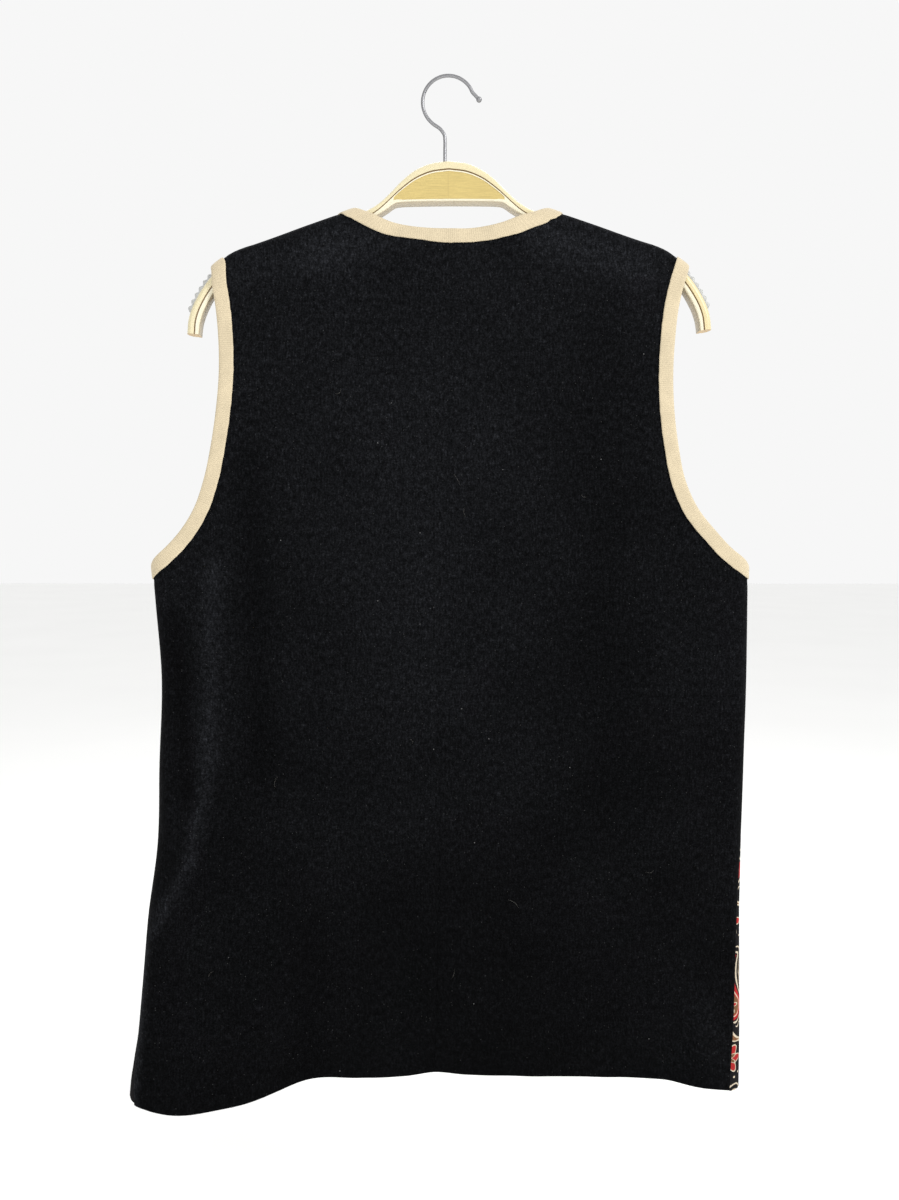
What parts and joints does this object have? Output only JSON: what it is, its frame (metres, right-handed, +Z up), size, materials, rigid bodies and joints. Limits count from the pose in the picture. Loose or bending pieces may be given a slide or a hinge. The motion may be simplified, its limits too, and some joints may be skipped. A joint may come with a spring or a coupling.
{
  "type": "western vest on a hanger",
  "caption": "Sleeveless black vest with bound neck and armholes and an open printed front, hanging flat on a shaped wooden hanger with a wire hook.",
  "frame": {"origin": "inner top of the hanger's hook, where a rail or peg carries it", "axes": "+Z up; the vest's back faces -Y and its open front faces +Y; the wearer's left side is at -X and right side at +X"},
  "size_m": [0.5329, 0.0601, 0.8738],
  "materials": {
    "black_cloth": "short napped cloth, deep black, matte with a soft edge sheen",
    "printed_cloth": null,
    "beige_binding": "ribbed beige binding strip, matte",
    "laminated_wood": "clear lacquered pale wood edge with a golden wood insert",
    "chrome_wire": "polished wire",
    "clear_grip": "clear soft grip strip"
  },
  "bodies": {
    "root": {"back_left": "black_cloth", "back_right": "black_cloth", "front_left": "printed_cloth", "front_right": "printed_cloth", "armhole_binding_left": "beige_binding", "armhole_binding_right": "beige_binding", "neck_binding": "beige_binding", "hanger_body": "laminated_wood", "hanger_hook": "chrome_wire", "grip_left": "clear_grip", "grip_right": "clear_grip"}
  },
  "joints": []
}
